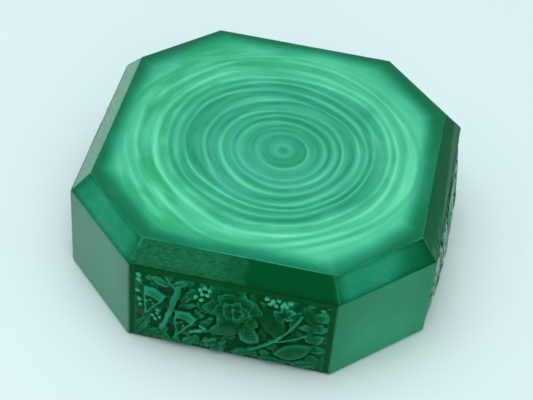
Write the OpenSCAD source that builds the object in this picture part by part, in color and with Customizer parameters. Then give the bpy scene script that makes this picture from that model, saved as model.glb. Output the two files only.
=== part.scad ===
// Moulded glass powder box: a low square box with cut corners and a loose bevelled lid.
// The origin is at the middle of the underside, +Z is up, and the front faces -Y.

/* [Base] */
// Width across two opposite moulded sides, without the relief
body_w = 120; // [110:1:135]
// Length that each corner facet cuts off a side
corner_cut = 26.6; // [24:0.2:29]
// Height of the base, from the table to the lid
base_h = 33; // [31:0.5:42]
// Small flat ground along the bottom edge
foot_arris = 1.2; // [0.5:0.1:2]
// Width of the flat foot that stands on the table
foot_w = 11; // [8:0.5:14]
// Depth of the hollow inside the foot
foot_hollow = 1; // [0.5:0.1:2]

/* [Well] */
// Thickness of the walls at the mouth of the well
wall_t = 9; // [8:0.5:12]
// Thickness of the floor of the well
floor_t = 7; // [5:0.5:9]
// Draft of the well, from the mouth to the floor
well_draft = 1; // [0.5:0.1:1.5]
// Slope that joins the floor of the well to its walls
well_slope = 3; // [2:0.5:5]

/* [Lid] */
// Height of the lid, all of it bevel
lid_h = 7; // [5:0.5:10]
// How far the bevel runs in from the edge
lid_bevel = 6.2; // [4:0.1:8]
// How far the locating rim hangs into the well
rim_h = 2.6; // [2:0.1:4]
// Width of the locating rim
rim_w = 4; // [3:0.5:6]
// Gap all round between the rim and the well
rim_gap = 0.8; // [0.5:0.1:1.2]
// Small flat ground along each edge of the glass
arris = 0.3; // [0.2:0.05:0.5]

/* [Moulded panels] */
// Plain strip at each end of a moulded panel
end_strip = 2.4; // [1.5:0.1:4]
// Plain strip above and below a moulded panel
edge_strip = 1.4; // [1:0.1:3]
// Depth of the ground of a panel behind its strips
panel_sink = 0.6; // [0.3:0.1:1.5]
// How far the highest flower stands out of the side
relief_h = 3.4; // [2:0.1:4]

/* [Hidden] */
glass = [0.03, 0.45, 0.29];
lid_glass = [0.10, 0.58, 0.42];
$fn = 48;
eps = 1;
side_d = body_w / 2;
side_len = body_w - 2 * corner_cut;
corner_d = (side_d + side_len / 2) / sqrt(2);
panel_w = side_len - 2 * end_strip;
panel_h = base_h - 2 * edge_strip;
panel_r = 2;
// The bouquet is laid out on a panel of this size, and grows or shrinks with the panel.
bouquet_w = 62;
bouquet_h = 30.2;
bouquet_k = min(panel_w / bouquet_w, panel_h / bouquet_h);
// Depth below the side at which every flower and leaf is rooted in the glass
root = 2;
// The relief is fullest at this height on its panel, and has lost the given share of its
// depth at the given distance above and below it
full_y = -2;
loss_reach = 17;
loss = 0.75;

// Octagonal block. profile lists [inset, height] from the bottom up: at each height the
// outline is the octagon of the box, moved in by the inset.
module facet_block(profile) {
    intersection_for(turn = [0, 45, 90, 135]) {
        reach = turn % 90 == 0 ? side_d : corner_d;
        rotate(turn)
            rotate([90, 0, 0])
                linear_extrude(height = 3 * body_w, center = true)
                    polygon(concat(
                        [for (p = profile) [reach - p[0], p[1]]],
                        [for (i = [len(profile) - 1:-1:0]) [profile[i][0] - reach, profile[i][1]]]
                    ));
    }
}

// Round-cornered rectangle, centred
module panel_outline() {
    square([panel_w, panel_h - 2 * panel_r], center = true);
    square([panel_w - 2 * panel_r, panel_h], center = true);
    for (x = [-1, 1], y = [-1, 1])
        translate([x * (panel_w / 2 - panel_r), y * (panel_h / 2 - panel_r)])
            circle(panel_r);
}

// Moves from a panel's own plane (x along the side, y up, z out) to the front side
module on_front() {
    translate([0, -side_d, base_h / 2])
        rotate([90, 0, 0])
            children();
}

// Share of the full relief at height y on a panel
function rise(y) = 1 - loss * pow((y - full_y) / loss_reach, 2);

// Low dome of radius r and height full_h at the panel's fullest, with a short upright side
module bud(at, r, full_h) {
    h = full_h * rise(at[1]);
    round_r = (r * r + h * h) / (2 * h);
    lift = 1.02;
    translate([at[0], at[1], 0])
        intersection() {
            translate([0, 0, -root])
                cylinder(r = r, h = root + h + eps);
            translate([0, 0, h - round_r])
                sphere(round_r * lift, $fn = 64);
        }
}

// Cluster of berries, each on a short root
module berries(list, r, full_h) {
    neck_r = 0.8 * r;
    for (at = list)
        translate([at[0], at[1], full_h * rise(at[1]) - r]) {
            sphere(r, $fn = 24);
            translate([0, 0, -root])
                cylinder(r = neck_r, h = root, $fn = 24);
        }
}

// Flower of overlapping petals round a centre
module flower(at, petals, ring, petal_r, petal_h, turn) {
    for (i = [0:petals - 1])
        bud(at + ring * [cos(turn + 360 * i / petals), sin(turn + 360 * i / petals)], petal_r, petal_h);
}

// Pointed leaf from a to b, of width w, with a midrib
module leaf(a, b, w, full_h) {
    h = full_h * rise((a[1] + b[1]) / 2);
    len_ab = norm(b - a);
    side_r = (len_ab * len_ab + w * w) / (4 * w);
    crown_r = 1.4 * len_ab;
    rib_len = 0.84 * len_ab;
    rib_r = 0.5;
    rib_sink = 0.9;
    translate([(a[0] + b[0]) / 2, (a[1] + b[1]) / 2, 0])
        rotate(atan2(b[1] - a[1], b[0] - a[0])) {
            intersection() {
                translate([0, side_r - w / 2, -root])
                    cylinder(r = side_r, h = root + h + eps, $fn = 96);
                translate([0, w / 2 - side_r, -root])
                    cylinder(r = side_r, h = root + h + eps, $fn = 96);
                translate([0, 0, h - crown_r])
                    sphere(crown_r, $fn = 96);
            }
            translate([-rib_len / 2, 0, h - rib_sink])
                rotate([0, 90, 0])
                    cylinder(r = rib_r, h = rib_len, $fn = 16);
        }
}

// Round stem from a to b on a rib that roots it in the glass
module stem(a, b, r, full_h) {
    low = full_h * rise(a[1]);
    high = full_h * rise(b[1]);
    flat_len = norm(b - a);
    len_ab = norm([flat_len, high - low]);
    rib_w = 1.6 * r;
    rib_inset = 0.2 * r;
    translate([a[0], a[1], low - r])
        rotate(atan2(b[1] - a[1], b[0] - a[0]))
            rotate([0, -atan2(high - low, flat_len), 0]) {
                rotate([0, 90, 0])
                    cylinder(r = r, h = len_ab, $fn = 24);
                translate([rib_inset, -rib_w / 2, -full_h])
                    cube([len_ab - 2 * rib_inset, rib_w, full_h]);
            }
}

// Outline of a fan that opens along +X from the apex
module fan(reach, half_angle) {
    far = 1.5 * reach;
    corner = far * [cos(half_angle), sin(half_angle)];
    intersection() {
        circle(reach, $fn = 96);
        polygon([[0, 0], [corner[0], -corner[1]], corner]);
    }
}

// Trumpet blossom: a fan with a sunken throat inside its raised edges and broad rim
module trumpet(apex, heading, reach, half_angle, full_h) {
    h = full_h * rise(apex[1] + reach / 2);
    edge = 0.9;
    rim = 3.2;
    throat_h = 0.5 * h;
    throat_at = edge / sin(half_angle);
    translate([apex[0], apex[1], -root])
        rotate(heading)
            difference() {
                linear_extrude(height = root + h)
                    fan(reach, half_angle);
                translate([throat_at, 0, root + throat_h])
                    linear_extrude(height = root + h)
                        fan(reach - rim - throat_at, half_angle);
            }
}

// One moulded bouquet, laid out in mm from the middle of its panel
module bouquet() {
    // left: two trumpet blossoms on either side of a thick stem
    trumpet([-27.5, -4], 74, 13, 18, 0.8 * relief_h);
    trumpet([-17.3, -11], 74, 13.6, 17, 0.9 * relief_h);
    stem([-16.6, 13.2], [-22, -8.4], 1.4, 0.75 * relief_h);
    stem([-24, 13.8], [-12, 12.4], 0.9, 0.6 * relief_h);
    berries([[-29.4, 12], [-29.6, 2.2], [-29.3, -0.6]], 1.1, 0.5 * relief_h);
    berries([[-23.6, -2], [-25.2, -3.8], [-23.4, -4.9]], 1.1, 0.7 * relief_h);
    berries([[-15, -3.6], [-13.2, -3], [-14.4, -5.4]], 0.9, 0.8 * relief_h);
    berries([[-8.4, 13.2], [-10.2, 11.4], [-7.4, 10.8], [-11.3, 8.9], [-9.3, 7.7]], 1.2, 0.85 * relief_h);
    berries([[-11.4, -6.2], [-9.2, -2.9], [-8.9, -5.6]], 1.1, 0.7 * relief_h);
    leaf([-30.4, -13.6], [-26, -5.4], 4.6, 0.5 * relief_h);
    leaf([-24.6, -13.6], [-19.4, -10], 3.4, 0.4 * relief_h);
    leaf([-13.4, -13.8], [-9.6, -8], 4, 0.5 * relief_h);
    leaf([-7, 2], [-13, 6], 3.2, 0.5 * relief_h);
    leaf([-19.6, 12], [-27, 9.8], 2.8, 0.4 * relief_h);

    // middle: the rose, its leaves and a small flower under them
    flower([0.6, 6.4], 6, 5.6, 4.4, 0.66 * relief_h, 20);
    flower([0.6, 6.4], 5, 2.9, 2.9, 0.88 * relief_h, 33);
    bud([0.6, 6.4], 1.9, relief_h);
    leaf([3.4, 1.4], [-7.4, -5.4], 6.6, 0.92 * relief_h);
    bud([6.4, -2.4], 4.3, 0.9 * relief_h);
    flower([-4.2, -11], 5, 2.4, 1.9, 0.6 * relief_h, 90);
    bud([-4.2, -11], 1.5, 0.8 * relief_h);

    // right: berries over a broad petal, a branch and large leaves
    berries([[11.6, 13.8], [13.4, 12.9], [15.2, 13.9], [17, 13]], 1.15, 0.7 * relief_h);
    berries([[18.8, 13.8], [12.8, 10.9]], 1.15, 0.7 * relief_h);
    bud([17, 10], 2.2, 0.8 * relief_h);
    leaf([7.2, 14], [10.2, 7.4], 3.2, 0.6 * relief_h);
    leaf([10.2, 10], [16.6, -2.8], 7.4, 0.8 * relief_h);
    stem([8, -9.2], [22.6, 9.6], 0.8, 0.85 * relief_h);
    stem([14.4, -2.6], [24.6, 1.6], 0.7, 0.7 * relief_h);
    leaf([16.6, -10.6], [28.2, -1.4], 6.8, 0.8 * relief_h);
    leaf([1, -13.6], [8.2, -10.2], 3.8, 0.45 * relief_h);
    leaf([9.8, -13.4], [18.4, -11.8], 3.6, 0.45 * relief_h);
    leaf([20.4, -13.8], [29.6, -11.4], 3.4, 0.4 * relief_h);
    leaf([22.6, 13.6], [28.4, 3], 4.6, 0.6 * relief_h);
    bud([28.8, 9.8], 2, 0.5 * relief_h);
    bud([29, -6.8], 1.9, 0.45 * relief_h);
}

// Base: a faceted pot with an octagonal well and four moulded sides
module jar_base() {
    color(glass) {
        difference() {
            facet_block([[foot_arris, 0], [0, foot_arris], [0, base_h - arris], [arris, base_h]]);
            facet_block([
                [wall_t + well_draft + well_slope, floor_t],
                [wall_t + well_draft, floor_t + well_slope],
                [wall_t, base_h],
                [wall_t, base_h + eps]
            ]);
            facet_block([[foot_w, -eps], [foot_w, foot_hollow]]);
            for (turn = [0:90:270])
                rotate(turn)
                    on_front()
                        translate([0, 0, -panel_sink])
                            linear_extrude(height = panel_sink + eps)
                                panel_outline();
        }
        for (side = [0:3])
            rotate(90 * side)
                on_front()
                    mirror([side % 2, 0, 0])
                        scale(bouquet_k)
                            bouquet();
    }
}

// Lid: a bevelled slab with a rim that keys it in the well
module lid() {
    color(lid_glass)
        translate([0, 0, base_h]) {
            facet_block([
                [arris, 0],
                [lid_bevel * arris / lid_h, arris],
                [lid_bevel, lid_h - arris],
                [lid_bevel + 2 * arris, lid_h]
            ]);
            difference() {
                facet_block([
                    [wall_t + rim_gap + arris, -rim_h],
                    [wall_t + rim_gap, arris - rim_h],
                    [wall_t + rim_gap, arris]
                ]);
                facet_block([
                    [wall_t + rim_gap + rim_w, -rim_h - eps],
                    [wall_t + rim_gap + rim_w, 0]
                ]);
            }
        }
}

jar_base();
lid();
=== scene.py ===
"""Looks of a moulded powder box in marbled green glass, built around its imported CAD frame.

Both glass pieces are closed skins, laid ring by ring along a profile. The flowers on the four
sides are a height field that is worked out on a fine grid and set into the base's skin.
Lengths are in millimetres, and become metres where a mesh, a material or the camera is made.
Materials read places in millimetres too. Only the lights are placed in metres.
"""

import math

import bpy
import numpy as np
from mathutils import Matrix, Vector


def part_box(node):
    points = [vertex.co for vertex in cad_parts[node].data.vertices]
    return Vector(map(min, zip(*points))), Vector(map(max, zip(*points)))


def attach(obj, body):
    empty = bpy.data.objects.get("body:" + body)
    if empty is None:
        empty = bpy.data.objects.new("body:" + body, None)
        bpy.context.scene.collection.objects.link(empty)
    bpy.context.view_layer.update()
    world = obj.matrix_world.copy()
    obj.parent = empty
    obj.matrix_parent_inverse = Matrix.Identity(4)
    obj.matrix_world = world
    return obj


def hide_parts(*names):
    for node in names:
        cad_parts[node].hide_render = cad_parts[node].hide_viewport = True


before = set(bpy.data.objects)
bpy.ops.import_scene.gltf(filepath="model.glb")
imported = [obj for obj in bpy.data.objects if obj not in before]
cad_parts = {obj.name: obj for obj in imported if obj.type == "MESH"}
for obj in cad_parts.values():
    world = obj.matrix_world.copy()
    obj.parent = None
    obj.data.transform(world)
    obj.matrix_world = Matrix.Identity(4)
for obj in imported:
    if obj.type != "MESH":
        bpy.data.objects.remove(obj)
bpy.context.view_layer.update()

MM = 0.001

# ---- sizes, from the frame where it holds them ----
base_high = [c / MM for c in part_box("jar_base")[1]]
lid_low, lid_high = [[c / MM for c in corner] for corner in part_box("lid")]
BASE_H = base_high[2]
LID_TOP = lid_high[2]
RIM_LOW = lid_low[2]

# the outline: how far its long sides and its corner facets stand from the middle
SIDE_D = 60.0
SIDE_LEN = 66.8
CORNER_SUM = SIDE_D + SIDE_LEN / 2
CORNER_D = CORNER_SUM / math.sqrt(2)
RELIEF_TOP = base_high[0] - SIDE_D

# the base's walls, floor and foot, and the lid's bevel and rim
WALL_T = 9.0
WELL_DRAFT = 1.0
FLOOR_Z = 7.0
FOOT_W = 11.0
FOOT_HOLLOW = 1.0
LID_BEVEL = 6.2
RIM_GAP = 0.8
RIM_W = 4.0
OUTER_CORNER_R = 0.35

# a moulded panel, in its own plane: x along the side, y up, both from the panel's middle
PANEL_W = 62.0
PANEL_H = 30.2
PANEL_SINK = 0.6
PANEL_MID_Z = BASE_H / 2
# its grid ends this far from the panel's upper and lower edges
GRID_GAP = 0.2
GRID_H = PANEL_H - 2 * GRID_GAP
GRID_STEP = 0.29
# heights are laid out up to LAYOUT_TOP, and then squeezed to this share under the relief's top
LAYOUT_TOP = 2.7
DEPTH_SHARE = 0.8
# the relief stands out fully at FULL_Y, and less by these shares at LOSS_REACH from there and
# at the panel's ends
FULL_Y = -2
LOSS_REACH = 17
HEIGHT_LOSS = 0.75
END_LOSS = 0.9
PANEL_FADE = 0.5


# ---- closed skins ----
CORNER_STEPS = 4
PER_CORNER = CORNER_STEPS + 1
FILLET_STEPS = 4
SHARP_DEG = 50


def octagon(inset, corner_r, z):
    """One counter-clockwise ring: the box's outline moved in by inset, with rounded corners."""
    ring = []
    for i in range(8):
        a, b = math.radians(45 * i), math.radians(45 * (i + 1))
        reach_a, reach_b = (SIDE_D, CORNER_D) if i % 2 == 0 else (CORNER_D, SIDE_D)
        reach_a -= inset + corner_r
        reach_b -= inset + corner_r
        x = (reach_a * math.sin(b) - reach_b * math.sin(a)) / math.sin(b - a)
        y = (reach_b * math.cos(a) - reach_a * math.cos(b)) / math.sin(b - a)
        for k in range(PER_CORNER):
            turn = a + (b - a) * k / CORNER_STEPS
            ring.append((x + corner_r * math.cos(turn), y + corner_r * math.sin(turn), z))
    return ring


def fillet(profile):
    """Rounds each corner of a profile of (inset, z, fillet radius, corner radius) into an arc."""
    out = [profile[0]]
    for before, here, after in zip(profile, profile[1:], profile[2:]):
        p, q, r = (Vector(point[:2]) for point in (before, here, after))
        to_p, to_r = (p - q).normalized(), (r - q).normalized()
        half = to_p.angle(to_r) / 2
        run = here[2] / math.tan(half)
        centre = q + (to_p + to_r).normalized() * here[2] / math.sin(half)
        start, end = q + to_p * run - centre, q + to_r * run - centre
        sweep = start.angle_signed(end)
        for k in range(FILLET_STEPS + 1):
            spoke = Matrix.Rotation(-sweep * k / FILLET_STEPS, 2) @ start
            out.append((centre.x + spoke.x, centre.y + spoke.y, here[2], here[3]))
    return out + [profile[-1]]


class Skin:
    """Points and faces of one closed surface."""

    def __init__(self):
        self.points = []
        self.tones = []
        self.faces = []

    def add(self, points, tones=None):
        """Adds points, each with its tone: its share of swell, of ridge and of paleness."""
        first = len(self.points)
        self.points.extend(points)
        self.tones.extend(tones or [(0, 0, 0)] * len(points))
        return list(range(first, len(self.points)))

    def rings(self, profile):
        return [self.add(octagon(inset, corner_r, z)) for inset, z, _, corner_r in profile]

    def bridge(self, low, high, gaps=()):
        """Quads from one ring to the next, except over the spans listed in gaps."""
        n = len(low)
        for i in range(n):
            if i not in gaps:
                j = (i + 1) % n
                self.faces.append((low[i], low[j], high[j], high[i]))

    def bridge_all(self, rings):
        for low, high in zip(rings, rings[1:]):
            self.bridge(low, high)

    def close(self, first, last):
        """One flat face inside the first ring and one inside the last."""
        self.faces.append(tuple(reversed(first)))
        self.faces.append(tuple(last))

    def mesh(self, name):
        mesh = bpy.data.meshes.new(name)
        mesh.from_pydata([Vector(p) * MM for p in self.points], [], self.faces)
        tone = mesh.attributes.new("tone", "FLOAT_VECTOR", "POINT")
        tone.data.foreach_set("vector", np.array(self.tones, dtype=float).ravel())
        mesh.validate()
        mesh.polygons.foreach_set("use_smooth", [True] * len(mesh.polygons))
        mesh.set_sharp_from_angle(angle=math.radians(SHARP_DEG))
        piece = bpy.data.objects.new(name, mesh)
        bpy.context.scene.collection.objects.link(piece)
        weighted = piece.modifiers.new("flat_faces_first", "WEIGHTED_NORMAL")
        weighted.keep_sharp = True
        weighted.weight = 100
        return piece


# ---- the moulded relief ----
# a height under every shape, and how near in height two shapes melt into each other
UNDER_ALL = -9.0
MELT = 0.2
FOLIAGE = 230


def along_and_across(a, b):
    """Length from a to b, and the unit vectors along it and square to it."""
    a, b = np.array(a), np.array(b)
    length = np.hypot(*(b - a))
    return length, (b - a) / length, np.array([a[1] - b[1], b[0] - a[0]]) / length


class Relief:
    """Heights in mm over a panel's plane, and how pale the glass is in each shape.

    Each shape is laid over what is already there, and melts into it where their heights are
    within MELT. The plane itself wavers a little, so that no outline is a plain arc or a
    straight line.
    """

    def __init__(self, xs, ys):
        x, y = np.meshgrid(xs, ys)
        self.x = x + 0.16 * np.sin(0.5 * x + 0.8 * y) + 0.05 * np.sin(2.6 * y - 1.4 * x)
        self.y = y + 0.16 * np.sin(0.7 * x - 0.5 * y + 2) + 0.05 * np.sin(2.3 * x + 1.1 * y)
        self.h = np.full(x.shape, -PANEL_SINK)
        self.pale = np.zeros(x.shape)

    def lay(self, height, inner, round_w, pale):
        """Lays a shape, with its edge rounded over round_w. inner is how far in a point lies."""
        lip = np.clip(inner / round_w, 0, 1)
        lip = np.sqrt(1 - (1 - lip) ** 2)
        top = np.where(inner > 0, (height + PANEL_SINK) * lip - PANEL_SINK, UNDER_ALL)
        near = np.where(top > UNDER_ALL, np.clip(MELT - np.abs(top - self.h), 0, None), 0)
        self.pale = np.where(top > self.h, pale, self.pale)
        self.h = np.maximum(self.h, top) + near**2 / (4 * MELT)

    def polar(self, at, heading):
        """Distance from a point, and the angle from a heading in degrees, in radians."""
        dx, dy = self.x - at[0], self.y - at[1]
        turn = np.arctan2(dy, dx) - math.radians(heading)
        return np.hypot(dx, dy), (turn + math.pi) % (2 * math.pi) - math.pi

    def berry(self, at, r, h, pale=1.0):
        d = np.hypot(self.x - at[0], self.y - at[1])
        self.lay(h - r + np.sqrt(np.clip(r * r - d * d, 0, None)), r - d, 0.25, pale)

    def berries(self, spots, r, h, pale=1.0):
        for at in spots:
            self.berry(at, r, h, pale)

    def stem(self, a, b, r0, r1, h, sag=0.0, grooves=0.0, pale=0.4):
        """Round stem from a to b that thins from r0 to r1 and bows sideways by sag."""
        length, along, across = along_and_across(a, b)
        dx, dy = self.x - a[0], self.y - a[1]
        s = dx * along[0] + dy * along[1]
        share = np.clip(s / length, 0, 1)
        t = dx * across[0] + dy * across[1] - sag * np.sin(math.pi * share)
        r = r0 + (r1 - r0) * share
        d = np.hypot(t, s - share * length)
        crown = h - 0.6 * r + 0.6 * np.sqrt(np.clip(r * r - d * d, 0, None))
        self.lay(crown + grooves * np.cos(6.3 * t / r0 + 0.4 * s), r - d, 0.3, pale)

    def leaf(self, a, b, width, h, bend=0.0, veins=0.12, edge=0.0, pale=0.3):
        """Leaf from its stalk at a to its tip at b, bowed sideways by bend."""
        length, along, across = along_and_across(a, b)
        dx, dy = self.x - a[0], self.y - a[1]
        s = (dx * along[0] + dy * along[1]) / length
        inside = (s > 0) & (s < 1)
        s = np.clip(s, 0.001, 0.999)
        t = dx * across[0] + dy * across[1] - bend * np.sin(math.pi * s)
        half = 0.5 * width * np.sin(math.pi * s**0.8) ** 0.8
        half = half * (1 + edge * np.sin(2 * math.pi * s * length / 1.7))
        inner = np.where(inside, half - np.abs(t), -1)
        crown = h * (0.7 + 0.3 * np.sin(math.pi * s)) - 0.25 * h * (t / (0.5 * width)) ** 2
        side = np.cos(2 * math.pi * (s * length - 1.1 * np.abs(t)) / 1.8)
        rib = np.exp(-((t / 0.32) ** 2))
        rim = 0.16 * np.exp(-(((inner - 0.55) / 0.25) ** 2))
        self.lay(crown + rim + veins * side * (1 - rib) - 2.4 * veins * rib, inner, 0.5, pale)

    def petal(self, at, heading, reach, spread, h, ripple=0.14, pitch=1.0, dip=0.4, pale=0.4):
        """Ruffled shell that opens from at towards a heading, with fine ridges along its lip."""
        r, turn = self.polar(at, heading)
        half = math.radians(spread)
        share = np.clip(np.abs(turn) / half, 0, 1)
        ruffle = 1 + 0.05 * np.cos(8 * turn + heading) + 0.03 * np.cos(15 * turn + 2 * heading)
        lip = reach * np.cos(share * math.pi / 2) ** 0.35 * ruffle
        flank = r * np.sin(half * (1 - share)) + 0.2
        inner = np.where(np.abs(turn) < half, np.minimum(lip - r, flank), -1)
        rise = np.clip(r / np.maximum(lip, 0.01), 0, 1)
        way = math.pi * (lip - r - 0.45) / pitch + 0.4 * np.sin(5 * turn)
        ridges = 1 - 2 * np.abs(np.sin(way))
        folds = 0.5 * np.cos(14 * turn + heading) * (1 - rise)
        crown = h * (1 - dip + dip * rise**1.5)
        self.lay(crown + ripple * (ridges * rise + folds), inner, 0.4, pale)

    def flower(self, at, petals, reach, spread, h, turn, **shape):
        """A ring of slightly uneven petals."""
        for k in range(petals):
            uneven = 1 + 0.09 * math.sin(2.4 * k + reach)
            heading = turn + 360 * k / petals + 6 * math.sin(1.7 * k)
            self.petal(at, heading, reach * uneven, spread, h, **shape)

    def trumpet(self, at, heading, reach, spread, h):
        """Fan-shaped blossom: a finely ridged rim and two raised edges round a sunken throat."""
        r, turn = self.polar(at, heading)
        half = math.radians(spread)
        rim = reach * (1 + 0.02 * np.cos(12 * turn))
        to_side = r * np.sin(np.clip(half - np.abs(turn), -1, 1))
        inner = np.minimum(rim - r, to_side)
        in_rim = 1 / (1 + np.exp(-(r - reach + 4.0 + 5 * turn**2) / 0.15))
        in_edge = 1 / (1 + np.exp((to_side - 0.75) / 0.1))
        raised = np.maximum(in_rim, in_edge)
        lines = 1 - 2 * np.abs(np.sin(math.pi * (reach - r) / 0.85))
        self.lay(h * (0.4 + 0.6 * raised) + 0.09 * lines * in_rim, inner, 0.4, 0.1 + 0.45 * raised)
        cos, sin = math.cos(math.radians(heading)), math.sin(math.radians(heading))
        for k, side in enumerate((-1.0, 0.2, 1.1)):
            out = (0.52 + 0.08 * (k % 2)) * reach
            spot = (at[0] + out * cos - side * sin, at[1] + out * sin + side * cos)
            self.berry(spot, 0.7, 0.8 * h, 0.8)


def blurred(heights, sigma):
    """A grid blurred by sigma grid steps."""
    reach = int(math.ceil(3 * sigma))
    kernel = np.exp(-0.5 * (np.arange(-reach, reach + 1) / sigma) ** 2)
    kernel /= kernel.sum()
    for axis in (0, 1):
        pad = [(reach, reach) if a == axis else (0, 0) for a in (0, 1)]
        wide = np.pad(heights, pad, mode="edge")
        n = heights.shape[axis]
        heights = sum(np.take(wide, range(k, k + n), axis) * w for k, w in enumerate(kernel))
    return heights


def lay_foliage(field):
    """Low ruffled leaves that cover the ground between the larger shapes."""
    scatter = np.random.default_rng(11)
    for _ in range(FOLIAGE):
        at = scatter.uniform((-32, -15.5), (32, 15.5))
        heading = scatter.uniform(0, 360)
        reach = scatter.uniform(2.8, 5.5)
        h = scatter.uniform(0.7, 1.6)
        pale = scatter.uniform(0.1, 0.4)
        field.petal(at, heading, reach, 38, h, ripple=0.22, dip=0.2, pale=pale)


def lay_trumpets(field):
    """Left: two trumpet blossoms on either side of a thick stem, with leaves and berries."""
    field.leaf((-30.6, -13.6), (-26.4, -5), 5.0, 1.6, bend=0.4, veins=0.16, edge=0.05, pale=0.35)
    field.leaf((-24.8, -14.2), (-20.4, -9.6), 3.6, 1.4, pale=0.25)
    field.leaf((-19.6, 11.4), (-26, 14), 3.6, 1.7, bend=0.3, veins=0.16, edge=0.06, pale=0.4)
    field.leaf((-18.6, 11.8), (-13.2, 14.6), 3.4, 1.8, veins=0.16, edge=0.06, pale=0.4)
    field.leaf((-16.2, 5.4), (-11.2, 10.4), 3.0, 1.5, bend=0.3, pale=0.35)
    field.leaf((-17, 2.6), (-10.2, 5.6), 3.4, 1.5, bend=0.6, veins=0.05, pale=0.3)
    field.stem((-16.8, 11.4), (-22, -8.4), 1.3, 1.0, 2.1, sag=0.5, grooves=0.12, pale=0.45)
    field.stem((-20.6, 14.2), (-17.6, 10.4), 0.7, 0.6, 1.8)
    field.trumpet((-27.5, -4), 74, 13.4, 19, 2.1)
    field.trumpet((-17.3, -11), 74, 14.0, 18, 2.4)
    field.berries([(-29.6, 13), (-29.8, 11), (-30, 6), (-29.3, 2.2), (-29.1, 0.2)], 0.95, 1.7, 0.9)
    field.berries([(-23.3, -1.7), (-24.9, -3.1), (-23.9, -4.4), (-23, -0.1), (-22.6, -3.2)], 0.8, 2.1)
    field.berries([(-8.4, 13.6), (-10, 12.6), (-7.6, 11), (-9.3, 11), (-10.9, 9.8)], 0.95, 2.3)
    field.berries([(-9.2, 8.7), (-6.9, 12.8)], 0.95, 2.3)
    field.berries([(-11.8, -6.6), (-10.4, -5.8), (-9, -3), (-9.2, -5.2), (-7.9, -3.8)], 0.85, 2.0, 0.9)
    field.leaf((-14.4, -14.2), (-10.4, -8.4), 4.0, 1.6, bend=0.2, pale=0.35)


def lay_rose(field):
    """Middle: a rose over its leaves, and a small flower under it."""
    field.leaf((6.4, 14.8), (8.6, 4.8), 3.4, 1.5, veins=0.02, pale=0.0)
    field.flower((0.6, 7.6), 6, 9.6, 42, 1.9, 14, ripple=0.26, pitch=1.25, dip=0.3)
    field.flower((1.2, 7.4), 5, 7.0, 50, 2.2, 45, ripple=0.24, pitch=1.15, dip=0.3)
    field.flower((1.8, 6.8), 5, 4.6, 52, 2.45, 75, ripple=0.2, dip=0.35, pale=0.6)
    field.flower((2.4, 6.4), 3, 2.6, 62, 2.7, 20, ripple=0.16, pitch=0.9, pale=0.8)
    field.leaf((4.2, 2.8), (-6.4, -4.4), 7.4, 2.4, bend=0.5, veins=0.02, pale=0.2)
    field.petal((5.4, 3.4), -78, 9.8, 37, 2.45, ripple=0.22, pitch=1.3, dip=0.2)
    field.flower((-4.6, -11), 6, 3.9, 36, 1.8, 30, ripple=0.16, dip=0.3, pale=0.3)
    field.berry((-4.6, -11), 1.2, 2.0, 0.2)


def lay_branch(field):
    """Right: berries over a broad smooth petal, a small flower, a branch, and large leaves."""
    field.leaf((10.6, 11), (16.8, -3), 8.2, 2.0, bend=0.5, veins=0.0, pale=0.05)
    field.berries([(11 + 1.9 * k, 14.2 - 0.7 * (k % 2)) for k in range(5)], 1.0, 2.1)
    field.berries([(12.2, 12.4), (14, 12.2), (15.8, 12.6), (17.6, 12.8)], 0.9, 2.2)
    field.flower((17, 9.4), 5, 3.6, 46, 2.1, 100, ripple=0.2, pitch=0.9, pale=0.7)
    field.leaf((22.2, 11.6), (19.4, 1.4), 3.4, 1.7, bend=-0.5, veins=0.14, edge=0.05, pale=0.35)
    field.stem((7.2, -9.4), (22.6, 9.8), 0.85, 0.5, 2.2, sag=-1.6, pale=0.45)
    field.stem((13.4, -3.2), (25, 2), 0.7, 0.45, 2.0, sag=-0.9, pale=0.35)
    field.leaf((15.6, -10), (27, -2.6), 7.6, 2.2, bend=-0.4, veins=0.02, pale=0.3)
    field.stem((15.4, -9.6), (18.6, -6.2), 0.6, 0.5, 1.9, sag=0.4)
    field.leaf((1.2, -13.8), (8.6, -10.6), 4.0, 1.4, bend=0.3, pale=0.2)
    field.leaf((9.6, -13.6), (18.6, -12.2), 3.6, 1.5, pale=0.15)
    field.leaf((20.4, -14.2), (29.8, -11), 4.4, 1.5, bend=0.2, pale=0.35)
    field.leaf((23, 13.6), (27.6, 5), 4.6, 1.5, bend=0.3, veins=0.03, pale=0.05)
    for k in range(5):
        at = (25.4 - 0.3 * k, 10.4 - 4.4 * k)
        field.petal(at, -4 - 9 * k, 5.8, 42, 2.0 - 0.1 * k, ripple=0.22, dip=0.3)
    field.berry((28.8, 13.2), 0.9, 1.7, 0.7)


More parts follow.
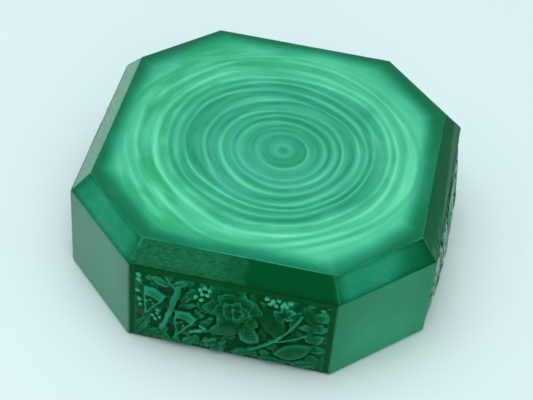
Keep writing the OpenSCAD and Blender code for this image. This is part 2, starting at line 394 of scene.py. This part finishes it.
def bouquet(xs, ys):
    """One moulded side: its heights, and the swell, ridge and paleness of each point."""
    field = Relief(xs, ys)
    lay_foliage(field)
    lay_trumpets(field)
    lay_rose(field)
    lay_branch(field)

    # a mould leaves no sharp step
    heights = np.minimum(blurred(field.h, 0.6), LAYOUT_TOP)
    swell = (heights + PANEL_SINK) / (LAYOUT_TOP + PANEL_SINK)

    # ridges stand over what is near them, finely and broadly
    fine = (heights - blurred(heights, 2.5)) / 0.3
    broad = (heights - blurred(heights, 6)) / 0.7
    ridge = np.clip(0.42 * fine + 0.58 * broad, -1, 1)

    # nothing lies deep, and the whole relief dies away towards the lid, the foot and the ends
    x, y = np.meshgrid(xs, ys)
    rise = 1 - HEIGHT_LOSS * ((y - FULL_Y) / LOSS_REACH) ** 2
    end = np.clip(np.abs(x) / (PANEL_W / 2), 0, 1)
    heights = RELIEF_TOP - DEPTH_SHARE * (LAYOUT_TOP - heights)
    heights = heights * rise * (1 - END_LOSS * end**4)
    margin = np.minimum(PANEL_W / 2 - np.abs(x), GRID_H / 2 - np.abs(y))
    fade = np.clip(margin / PANEL_FADE, 0, 1)
    fade = fade * fade * (3 - 2 * fade)
    return heights * fade, swell * fade, ridge * fade, blurred(field.pale, 0.6) * fade


# ---- the base ----
def side_place(side):
    """Turns a panel's x, y and height into the box's frame: side 0 faces -Y, then +X, +Y, -X."""
    mirror = -1 if side % 2 else 1
    turn = Matrix.Rotation(math.radians(90 * side), 3, "Z")
    return lambda x, y, h: turn @ Vector((mirror * x, -SIDE_D - h, PANEL_MID_Z + y)), mirror


def set_panel(skin, side, low, high, relief, xs, ys):
    """Sets one relief grid into its side and frames it with four flat strips."""
    place, mirror = side_place(side)
    heights, *tones = relief
    spots = [(x, y) for y in ys for x in xs]
    points = [place(x, y, h) for (x, y), h in zip(spots, heights.ravel())]
    tones = zip(*(tone.ravel() for tone in tones))
    grid = np.array(skin.add(points, list(tones))).reshape(heights.shape)[:, ::mirror]
    for below, above in zip(grid, grid[1:]):
        skin.faces.extend(zip(below, below[1:], above[1:], above))
    left_low, right_low, right_high, left_high = low[0], low[1], high[1], high[0]
    skin.faces.append((left_low, right_low, *grid[0, ::-1]))
    skin.faces.append((right_low, right_high, *grid[::-1, -1]))
    skin.faces.append((right_high, left_high, *grid[-1]))
    skin.faces.append((left_high, left_low, *grid[:, 0]))


def panel_span(side):
    """Places, in a ring, of the two points that a side's panel lies between."""
    last = ((2 * side + 5) % 8 + 1) * PER_CORNER - 1
    return last, (last + 1) % (8 * PER_CORNER)


def make_base():
    """From the hollow under the foot, up the outside, over the mouth and down to the floor."""
    foot_r, foot_edge, foot_arris = 3.0, 0.45, 1.3
    mouth_arris, mouth_r, well_r, well_foot_r = 0.35, 0.5, 3.0, 3.5
    hollow_ring_in, floor_ring_in = 6, 11
    skin = Skin()
    lower = skin.rings(fillet([
        (FOOT_W + hollow_ring_in, FOOT_HOLLOW, 0, foot_r),
        (FOOT_W, FOOT_HOLLOW, foot_edge, foot_r),
        (FOOT_W, 0, foot_edge, foot_r),
        (0, 0, foot_arris, OUTER_CORNER_R),
        (0, PANEL_MID_Z - PANEL_H / 2, 0, OUTER_CORNER_R),
    ]))
    upper = skin.rings(fillet([
        (0, PANEL_MID_Z + PANEL_H / 2, 0, OUTER_CORNER_R),
        (0, BASE_H, mouth_arris, OUTER_CORNER_R),
        (WALL_T, BASE_H, mouth_r, well_r),
        (WALL_T + WELL_DRAFT, FLOOR_Z, well_foot_r, well_r),
        (WALL_T + WELL_DRAFT + floor_ring_in, FLOOR_Z, 0, well_r),
    ]))
    skin.bridge_all(lower)
    skin.bridge_all(upper)
    skin.close(lower[0], upper[-1])

    xs = np.linspace(-PANEL_W / 2, PANEL_W / 2, round(PANEL_W / GRID_STEP) + 1)
    ys = np.linspace(-GRID_H / 2, GRID_H / 2, round(GRID_H / GRID_STEP) + 1)
    relief = bouquet(xs, ys)
    for side in range(4):
        low, high = ([ring[i] for i in panel_span(side)] for ring in (lower[-1], upper[0]))
        set_panel(skin, side, low, high, relief, xs, ys)
    skin.bridge(lower[-1], upper[0], [panel_span(side)[0] for side in range(4)])
    piece = skin.mesh("jar_base_glass")
    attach(piece, "base")
    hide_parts("jar_base")
    return piece


# ---- the lid ----
def make_lid():
    """From the underside inside the rim, round the rim, out to the edge and over the top."""
    arris, rim_root_r, rim_edge, rim_inner_r, rim_corner_r = 0.3, 0.3, 0.5, 0.8, 2.5
    under_ring_in, top_ring_in = 8, 6
    rim_out = WALL_T + RIM_GAP
    rim_in = rim_out + RIM_W
    skin = Skin()
    rings = skin.rings(fillet([
        (rim_in + under_ring_in, BASE_H, 0, rim_corner_r),
        (rim_in, BASE_H, rim_inner_r, rim_corner_r),
        (rim_in, RIM_LOW, rim_edge, rim_corner_r),
        (rim_out, RIM_LOW, rim_edge, rim_corner_r),
        (rim_out, BASE_H, rim_root_r, rim_corner_r),
        (0, BASE_H, arris, OUTER_CORNER_R),
        (LID_BEVEL, LID_TOP, arris, OUTER_CORNER_R),
        (LID_BEVEL + top_ring_in, LID_TOP, 0, OUTER_CORNER_R),
    ]))
    skin.bridge_all(rings)
    skin.close(rings[0], rings[-1])
    piece = skin.mesh("lid_glass")
    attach(piece, "lid")
    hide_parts("lid")
    return piece


# ---- glass ----
def set_stops(ramp, stops):
    """Gives a colour ramp its stops, each a place and a colour."""
    while len(ramp.elements) < len(stops):
        ramp.elements.new(1.0)
    for element, (spot, colour) in zip(ramp.elements, stops):
        element.position = spot
        element.color = (*colour, 1)


class Graph:
    """Short calls that build a material's node tree. Colours are linear."""

    def __init__(self, name):
        self.material = bpy.data.materials.new(name)
        self.material.use_nodes = True
        self.tree = self.material.node_tree
        self.shader = self.tree.nodes["Principled BSDF"]
        place = self.add("TexCoord").outputs["Object"]
        self.place = self.vector("SCALE", place, scale=1 / MM)
        self.x, self.y, self.z = self.split(self.place)

    def add(self, kind, **settings):
        node = self.tree.nodes.new("ShaderNode" + kind)
        for name, value in settings.items():
            setattr(node, name, value)
        return node

    def plug(self, socket, value):
        if isinstance(value, bpy.types.NodeSocket):
            self.tree.links.new(value, socket)
        else:
            socket.default_value = value

    def maths(self, operation, *values, clamp=False):
        node = self.add("Math", operation=operation, use_clamp=clamp)
        for socket, value in zip(node.inputs, values):
            self.plug(socket, value)
        return node.outputs[0]

    def plus(self, a, b):
        return self.maths("ADD", a, b)

    def minus(self, a, b):
        return self.maths("SUBTRACT", a, b)

    def times(self, a, b):
        return self.maths("MULTIPLY", a, b)

    def over(self, a, b):
        return self.maths("DIVIDE", a, b)

    def times_plus(self, a, b, c):
        """a times b, plus c."""
        return self.maths("MULTIPLY_ADD", a, b, c)

    def larger(self, a, b):
        return self.maths("MAXIMUM", a, b)

    def size(self, a):
        """A number without its sign."""
        return self.maths("ABSOLUTE", a)

    def sine(self, a):
        return self.maths("SINE", a)

    def centred(self, share):
        """A share of 0 to 1 turned into one of -0.5 to 0.5."""
        return self.minus(share, 0.5)

    def vector(self, operation, *values, scale=None):
        node = self.add("VectorMath", operation=operation)
        for socket, value in zip(node.inputs, values):
            self.plug(socket, value)
        if scale is not None:
            self.plug(node.inputs["Scale"], scale)
        return node.outputs["Value" if operation == "LENGTH" else "Vector"]

    def split(self, vector):
        node = self.add("SeparateXYZ")
        self.plug(node.inputs[0], vector)
        return node.outputs

    def join(self, x, y, z):
        node = self.add("CombineXYZ")
        for socket, value in zip(node.inputs, (x, y, z)):
            self.plug(socket, value)
        return node.outputs[0]

    def noise(self, vector, scale, detail, rough=0.5, output="Factor"):
        node = self.add("TexNoise", noise_dimensions="3D")
        self.plug(node.inputs["Vector"], vector)
        self.plug(node.inputs["Scale"], scale)
        self.plug(node.inputs["Detail"], detail)
        self.plug(node.inputs["Roughness"], rough)
        return node.outputs[0 if output == "Factor" else 1]

    def span(self, value, low, high, to_low=0.0, to_high=1.0):
        """Maps low..high to to_low..to_high, smoothly and held at both ends."""
        node = self.add("MapRange", interpolation_type="SMOOTHSTEP")
        for socket, number in zip(node.inputs, (value, low, high, to_low, to_high)):
            self.plug(socket, number)
        return node.outputs[0]

    def blend(self, share, a, b):
        """From number a to number b."""
        return self.times_plus(share, self.minus(b, a), a)

    def ramp(self, value, stops):
        node = self.add("ValToRGB")
        set_stops(node.color_ramp, stops)
        self.plug(node.inputs[0], value)
        return node.outputs["Color"]

    def mix(self, share, a, b):
        node = self.add("Mix", data_type="RGBA")
        for socket, value in zip([node.inputs[k] for k in (0, 6, 7)], (share, a, b)):
            self.plug(socket, value)
        return node.outputs[2]

    def waves(self, height, depth):
        """Tilts the surface as if it waved by depth mm."""
        node = self.add("Bump")
        self.plug(node.inputs["Height"], height)
        self.plug(node.inputs["Distance"], depth * MM)
        self.plug(self.shader.inputs["Normal"], node.outputs[0])

    def reaches(self):
        """Shares of the way out to the long sides and to the corner facets: 1 on the walls."""
        ax, ay = self.size(self.x), self.size(self.y)
        straight = self.over(self.larger(ax, ay), SIDE_D)
        slanted = self.over(self.plus(ax, ay), CORNER_SUM)
        return straight, slanted

    def to_edge(self):
        return self.larger(*self.reaches())

    def corner_share(self):
        """Above 0 where the nearest wall is a corner facet."""
        straight, slanted = self.reaches()
        return self.minus(slanted, straight)

    def glass(self, colour, roughness, milky, ior, mirror):
        """Polished glass that light enters by milky mm, with a mirror that is tinted head-on."""
        s = self.shader.inputs
        self.plug(s["Base Color"], colour)
        self.plug(s["Roughness"], roughness)
        s["IOR"].default_value = ior
        s["Specular IOR Level"].default_value = mirror
        s["Specular Tint"].default_value = MIRROR_TINT
        s["Subsurface Weight"].default_value = MILKY_SHARE
        s["Subsurface Radius"].default_value = MILKY_REACH
        s["Subsurface Scale"].default_value = milky * MM
        return self.material


# the same glass from its darkest streaks to its palest, by tone
GLASS_TONES = [
    (0.0, (0.0003, 0.022, 0.005)),
    (0.15, (0.001, 0.075, 0.015)),
    (0.3, (0.007, 0.18, 0.082)),
    (0.45, (0.021, 0.31, 0.175)),
    (0.6, (0.052, 0.44, 0.265)),
    (0.8, (0.115, 0.66, 0.39)),
    (1.0, (0.22, 0.85, 0.54)),
]
EMERALD = (0.012, 0.36, 0.12, 1)
BLOOM = (0.075, 0.46, 0.37, 1)
# grey of a painted reflection of the pale surround, and of the faint haze of ground glass
REFLECTION_AND_HAZE_GREY = (0.15, 0.31, 0.23, 1)
MIRROR_TINT = (0.05, 0.75, 0.35, 1)
# how much of the light enters the glass, and how far its red, green and blue run by comparison
MILKY_SHARE = 0.35
MILKY_REACH = (0.25, 1.0, 0.6)
# the most that the painted grey reflection covers on the bevels
REFLECTION_MOST = 0.34

# the rings in the lid: their middle, the pitch from crest to crest, and their shift in pitches
RING_MIDDLE = (3.4, -2.9, 0)
RING_PITCH = 3.95
RING_SHIFT = 0.78
# radii of the dark moat in the middle of the rings, and of the broad ring round it
MOAT_R = 6
FIRST_RING_R = 10.3


def ring_field(g):
    """Radius round a middle that drifts as it grows, a place that runs round it, and x and y."""
    sway = g.vector("SUBTRACT", g.noise(g.place, 0.014, 1, 0.5, "Color"), (0.5, 0.5, 0.5))
    swayed = g.vector("ADD", g.place, g.vector("SCALE", sway, scale=3))
    flat = g.vector("MULTIPLY", g.vector("SUBTRACT", swayed, RING_MIDDLE), (1, 1, 0))
    drift = g.span(g.vector("LENGTH", flat), 8, 50, 0, 3.2)
    x, y, _ = g.split(flat)
    radius = g.vector("LENGTH", g.join(g.plus(x, drift), y, 0))
    radius = g.times_plus(g.centred(g.noise(g.place, 0.055, 2, 0.35)), 1.3, radius)
    round_way = g.vector("SCALE", g.join(g.times(radius, 9), x, y), scale=0.02)
    return radius, round_way, x, y


def ripples(g, radius, round_way, moat):
    """Soft swells with a pale crest, uneven in width and in strength, and faint in the moat."""
    uneven = g.centred(g.noise(round_way, 0.9, 1))
    phase = g.times_plus(uneven, 2.2, g.over(radius, RING_PITCH))
    wave = g.sine(g.times(g.plus(phase, RING_SHIFT), 2 * math.pi))
    swell = g.times_plus(wave, 0.5, 0.5)
    crest = g.maths("POWER", swell, 2.4)
    strength = g.span(g.noise(round_way, 1.7, 2), 0.3, 0.7, 0.5, 1.15)
    strength = g.times(strength, g.span(radius, 2, 9, 0.5, 1.0))
    strength = g.times(strength, g.span(moat, 0, 1, 1, 0.1))
    strength = g.times(strength, g.span(radius, 32, 42, 1, 0.7))
    rings = g.times_plus(g.times(crest, strength), 0.22, g.times(swell, 0.05))
    return g.times_plus(g.centred(g.noise(round_way, 2.6, 2)), 0.3, rings)


def pale_band(g, radius, x, y):
    """A broad ragged band outside the rings, brightest towards the near right corner."""
    ragged = g.times_plus(g.centred(g.noise(g.place, 0.06, 4, 0.6)), 12, radius)
    band = g.times(g.span(ragged, 32, 41), g.span(ragged, 48, 60, 1, 0.1))
    return g.times(band, g.span(g.minus(x, g.times(y, 1.2)), -70, 60, 0.8, 0.92))


def top_tone(g, radius, round_way, x, y, cloud):
    """Rings round a dark moat inside the first ring, and the pale band outside them."""
    moat = g.span(g.size(g.minus(radius, MOAT_R)), 3, 1.5)
    rings = ripples(g, radius, round_way, moat)
    tone = g.times_plus(rings, g.span(radius, 45, 51, 1, 0.12), 0.475)
    tone = g.times_plus(cloud, 0.16, tone)
    tone = g.times_plus(pale_band(g, radius, x, y), 0.23, tone)
    tone = g.times_plus(moat, -0.035, tone)
    off_ring = g.size(g.minus(radius, FIRST_RING_R))
    tone = g.plus(tone, g.span(off_ring, 2, 0.5, 0, 0.05))
    return g.plus(tone, g.span(radius, 46, 52, 0, 0.06))


def uneven_edge(g):
    """Share of the way out to the walls, raised where the top's dark margin is wide.

    That is on the right and over the far right and near left corners. It is narrowest over
    the near right one.
    """
    edge = g.times_plus(g.centred(g.noise(g.place, 0.035, 2)), 0.07, g.to_edge())
    edge = g.plus(edge, g.span(g.x, 38, 54, 0, 0.025))
    edge = g.plus(edge, g.span(g.size(g.plus(g.x, g.y)), 60, 84, 0, 0.022))
    return g.minus(edge, g.span(g.minus(g.x, g.y), 74, 86, 0, 0.03))


def paler_side(g):
    """Above 0 in the -X half, in two steps, where the long bevels' glass is paler and mottled, and
    most of all on the -X bevel, where the paleness is a painted reflection.
    """
    x = g.times_plus(g.centred(g.noise(g.place, 0.2, 1)), 3, g.x)
    paler = g.plus(g.span(x, 4.5, 2.5, 0, 0.5), g.span(x, -2, -4, 0, 0.5))
    return g.plus(paler, g.span(g.x, -44, -56, 0, 1.6))


def bevel_tone(g, paler, mottle, cloud):
    """Deep green long bevels, mottled on the paler side, and paler short ones over the corners."""
    # the paler side is paler glass, and on the -X bevel a painted reflection
    long_tone = g.times_plus(paler, 0.09, 0.155)
    long_tone = g.times_plus(g.times(mottle, paler), 0.36, long_tone)
    short_tone = g.times_plus(cloud, 0.25, 0.42)
    short_tone = g.times_plus(mottle, 0.2, short_tone)

    # a short bevel darkens to its ends, to the right, and to its upper edge
    short_tone = g.times(short_tone, g.span(g.corner_share(), 0, 0.06, 0.7, 1))
    short_tone = g.times(short_tone, g.span(g.x, 45, 57, 1.05, 0.36))
    short_tone = g.times(short_tone, g.span(g.z, LID_TOP - 1.6, LID_TOP - 0.3, 1, 0.8))
    tone = g.blend(g.span(g.corner_share(), -0.02, 0.02), long_tone, short_tone)

    # every bevel darkens to the seam, and the +X side is a little paler
    tone = g.times(tone, g.span(g.z, BASE_H, BASE_H + 1.8, 0.7, 1))
    return g.plus(tone, g.span(g.x, 50, 56, 0, 0.06))


def painted_edge_highlights(g, on_bevel):
    """Painted highlights here and there on the top's outer edge and on the edges between bevels: above
    0 there.
    """
    edge_highlight = g.span(g.size(g.minus(g.z, LID_TOP - 0.12)), 0.11, 0.04)
    between = g.span(g.size(g.corner_share()), 0.004, 0.001)
    edge_highlight = g.larger(edge_highlight, g.times(between, on_bevel))
    edge_highlight = g.times(edge_highlight, g.span(g.to_edge(), 0.885, 0.89))
    return g.times(edge_highlight, g.span(g.noise(g.place, 0.12, 3), 0.4, 0.62, 0.1, 1))


def painted_reflection_and_haze(g, paler, mottle, on_bevel):
    """Painted grey reflection all over the -X bevel and in a tapering stripe on the +X one; faint and
    mottled on the paler side, as haze of the ground glass.
    """
    stripe_top = g.times_plus(g.y, 0.045, BASE_H + 1.4)
    stripe = g.span(g.minus(g.z, stripe_top), 0.6, -0.4)
    stripe = g.times(stripe, g.span(g.x, 50, 54, 0, REFLECTION_MOST))
    sheen_and_haze = g.larger(stripe, g.span(g.x, -50, -56, 0, REFLECTION_MOST))
    sheen_and_haze = g.larger(sheen_and_haze, g.times(paler, g.span(mottle, -0.2, 0.3, 0.02, 0.14)))
    sheen_and_haze = g.times(sheen_and_haze, g.span(g.corner_share(), 0.01, -0.01))
    return g.maths("MULTIPLY", sheen_and_haze, on_bevel, clamp=True)


def lid_material():
    """Malachite glass drawn into rings, darker towards its edges and on its bevels."""
    g = Graph("lid_glass")
    radius, round_way, x, y = ring_field(g)
    cloud = g.centred(g.noise(g.place, 0.045, 3, 0.55))
    mottle = g.centred(g.noise(g.vector("MULTIPLY", g.place, (0.5, 0.5, 2)), 1.1, 4, 0.75))
    paler = paler_side(g)
    edge = uneven_edge(g)
    on_bevel = g.span(g.z, LID_TOP - 0.1, LID_TOP - 0.5)

    tone = top_tone(g, radius, round_way, x, y, cloud)
    tone = g.times(tone, g.span(edge, 0.775, 0.895, 1, 0.47))
    tone = g.blend(on_bevel, tone, bevel_tone(g, paler, mottle, cloud))
    # pale painted highlights along the lid's edges
    tone = g.times_plus(painted_edge_highlights(g, on_bevel), 0.22, tone)
    colour = g.ramp(tone, GLASS_TONES)

    # greener streaks where the glass was drawn thin, and a faint blue bloom on the inner rings
    streak = g.noise(g.vector("MULTIPLY", round_way, (0.8, 1.6, 1.6)), 1.3, 2, 0.5)
    patch = g.times(g.span(streak, 0.44, 0.62), g.span(radius, 26, 38))
    patch = g.times(patch, g.span(x, 20, -20, 0.1, 0.6))
    colour = g.mix(g.times(patch, g.span(edge, 0.88, 0.8)), colour, EMERALD)
    bloom = g.span(g.noise(round_way, 2.1, 3), 0.42, 0.7, 0, 0.5)
    bloom = g.times(bloom, g.span(radius, 40, 28))
    bloom = g.times(bloom, g.span(g.z, LID_TOP - 0.5, LID_TOP - 0.1))
    colour = g.mix(bloom, colour, BLOOM)
    # grey painted reflection over the bevels, with a faint haze of the ground glass
    colour = g.mix(painted_reflection_and_haze(g, paler, mottle, on_bevel), colour, REFLECTION_AND_HAZE_GREY)

    roughness = g.span(g.noise(g.place, 0.9, 4, 0.6), 0.35, 0.75, 0.03, 0.09)
    g.waves(g.noise(g.place, 0.35, 2), 0.03)
    return g.glass(colour, roughness, milky=2, ior=1.56, mirror=0.5)


def relief_tone(g, warp):
    """Dark ground, painted highlights on the ridges, paler berries, and bands like agate, from the
    points' own tone.
    """
    swell, ridge, pale = g.split(g.add("Attribute", attribute_name="tone").outputs["Vector"])
    bands = g.sine(g.plus(g.times(swell, 30), g.times(warp, 16)))
    ridge = g.larger(ridge, -0.45)
    # each ridge is lightened over what is near it: a painted highlight
    tone = g.times_plus(g.times(ridge, g.plus(pale, 0.4)), 0.27, 0.12)
    tone = g.times_plus(pale, 0.13, tone)
    tone = g.times_plus(g.times(bands, swell), 0.03, tone)
    tone = g.times_plus(warp, 0.14, tone)
    # the low ground is lifted by painted light against the shade that falls in it; the lowest ground,
    # round the panel's frame, is darker
    tone = g.plus(tone, g.span(swell, 0.15, 0.65, 0.08, 0))
    return g.times(tone, g.span(swell, 0, 0.08, 0.75, 1))


def base_material():
    """Darker malachite glass: cloudy on the plain facets, banded like agate over the relief."""
    g = Graph("base_glass")
    cloud = g.centred(g.noise(g.place, 0.03, 4, 0.55))
    warp = g.centred(g.noise(g.place, 0.14, 3, 0.6))

    # lighter, cloudy glass in the plain corner facets, darker towards their upright edges, and paler
    # towards the bottom, partly cloud in the glass and partly painted light
    out = g.plus(g.size(g.x), g.size(g.y))
    on_facet = g.span(out, CORNER_SUM - 1, CORNER_SUM - 0.1)
    facet = g.times_plus(cloud, 0.35, g.span(g.z, 4, 30, 0.47, 0.38))
    facet = g.times(facet, g.span(g.corner_share(), 0, 0.12, 0.84, 1))

    # paler where the glass is seen from inside the well and on the ground edge round it
    inside = g.span(g.to_edge(), 0.99, 0.97)
    well = g.times_plus(cloud, 0.35, 0.36)
    well = g.times_plus(warp, 0.2, well)

    tone = g.blend(inside, g.blend(on_facet, relief_tone(g, warp), facet), well)
    colour = g.ramp(tone, GLASS_TONES)
    colour = g.mix(g.times(on_facet, g.span(g.x, -25, 25, 0, 0.25)), colour, EMERALD)
    # grey painted reflection of the pale floor on the corner facets, strongest on the -X ones
    colour = g.mix(g.times(on_facet, g.span(g.x, 25, -25, 0.09, 0.55)), colour, REFLECTION_AND_HAZE_GREY)
    roughness = g.span(g.noise(g.place, 0.7, 4, 0.6), 0.35, 0.75, 0.05, 0.13)
    g.waves(g.noise(g.place, 0.5, 3), 0.04)
    return g.glass(colour, roughness, milky=1.2, ior=1.4, mirror=0.15)


# ---- studio ----
# the camera's angles are in degrees
VIEW_AZIMUTH = 8.28
VIEW_ELEVATION = 44.06
VIEW_ROLL = 5.26
VIEW_DISTANCE = 520.5
AIM = (-2.7, 13.3, 0.0)
LENS = 98.3
SENSOR = 36.0
FLOOR_R = 340
FLOOR_SIDES = 96
PAPER = (0.75, 0.89, 0.905, 1)
BACKDROP = (0.708, 0.896, 0.896, 1)
# the dome's strength by height: the sine of the elevation, and the strength there
DOME = [(0.0, 0.17), (0.35, 0.22), (0.72, 0.48), (0.88, 1.3), (1.0, 2.3)]
AIR = (0.93, 1.0, 0.99)


def make_camera():
    """Looks at AIM from VIEW_DISTANCE, with the picture rolled by VIEW_ROLL."""
    az, el = math.radians(VIEW_AZIMUTH), math.radians(VIEW_ELEVATION)
    back = Vector((math.sin(az) * math.cos(el), -math.cos(az) * math.cos(el), math.sin(el)))
    right = (-back).cross(Vector((0, 0, 1))).normalized()
    up = right.cross(-back)
    roll = math.radians(VIEW_ROLL)
    across = right * math.cos(roll) + up * math.sin(roll)
    upward = up * math.cos(roll) - right * math.sin(roll)
    data = bpy.data.cameras.new("camera")
    data.lens = LENS
    data.sensor_width = SENSOR
    camera = bpy.data.objects.new("camera", data)
    bpy.context.scene.collection.objects.link(camera)
    place = Matrix((across, upward, back)).transposed().to_4x4()
    place.translation = (Vector(AIM) + back * VIEW_DISTANCE) * MM
    camera.matrix_world = place
    bpy.context.scene.camera = camera


def make_floor():
    """A round sheet of pale paper. Past it the glass mirrors only the dim air."""
    turns = [2 * math.pi * k / FLOOR_SIDES for k in range(FLOOR_SIDES)]
    rim = [Vector((math.cos(turn), math.sin(turn), 0)) * FLOOR_R * MM for turn in turns]
    mesh = bpy.data.meshes.new("floor")
    mesh.from_pydata(rim, [], [range(FLOOR_SIDES)])
    floor = bpy.data.objects.new("floor", mesh)
    bpy.context.scene.collection.objects.link(floor)
    material = bpy.data.materials.new("floor_paper")
    material.use_nodes = True
    shader = material.node_tree.nodes["Principled BSDF"]
    shader.inputs["Base Color"].default_value = PAPER
    shader.inputs["Roughness"].default_value = 0.9
    shader.inputs["Specular IOR Level"].default_value = 0.1
    mesh.materials.append(material)


def round_light(name, place, size, watts):
    """A white disc of light that faces the origin. Its place and size are in metres."""
    data = bpy.data.lights.new(name, "AREA")
    data.shape = "DISK"
    data.size = size
    data.energy = watts
    light = bpy.data.objects.new(name, data)
    light.location = place
    light.rotation_euler = (-Vector(place)).to_track_quat("-Z", "Y").to_euler()
    bpy.context.scene.collection.objects.link(light)


def make_dome():
    """A sky that is bright overhead and dim around, so that upright glass stays deep."""
    world = bpy.data.worlds.new("studio")
    world.use_nodes = True
    tree = world.node_tree
    direction = tree.nodes.new("ShaderNodeTexCoord")
    height = tree.nodes.new("ShaderNodeSeparateXYZ")
    ramp = tree.nodes.new("ShaderNodeValToRGB")
    tree.links.new(direction.outputs["Generated"], height.inputs[0])
    tree.links.new(height.outputs["Z"], ramp.inputs[0])
    top = DOME[-1][1]
    stops = [(spot, [strength / top * tint for tint in AIR]) for spot, strength in DOME]
    set_stops(ramp.color_ramp, stops)
    dome = tree.nodes["Background"]
    tree.links.new(ramp.outputs["Color"], dome.inputs["Color"])
    dome.inputs["Strength"].default_value = top

    # the backdrop is pale where it is seen past the floor
    backdrop = tree.nodes.new("ShaderNodeBackground")
    backdrop.inputs["Color"].default_value = BACKDROP
    ray = tree.nodes.new("ShaderNodeLightPath")
    choice = tree.nodes.new("ShaderNodeMixShader")
    tree.links.new(ray.outputs["Is Camera Ray"], choice.inputs[0])
    tree.links.new(dome.outputs[0], choice.inputs[1])
    tree.links.new(backdrop.outputs[0], choice.inputs[2])
    tree.links.new(choice.outputs[0], tree.nodes["World Output"].inputs["Surface"])
    bpy.context.scene.world = world


base = make_base()
lid = make_lid()
base.data.materials.append(base_material())
lid.data.materials.append(lid_material())
make_camera()
make_floor()
make_dome()
round_light("key", (-0.35, 0.25, 1.2), 1.1, 2.5)
round_light("fill", (0.45, -0.95, 0.75), 0.7, 2.1)
round_light("glint", (-0.55, -0.45, 0.7), 0.08, 0.3)
bpy.context.scene.view_settings.view_transform = "Standard"
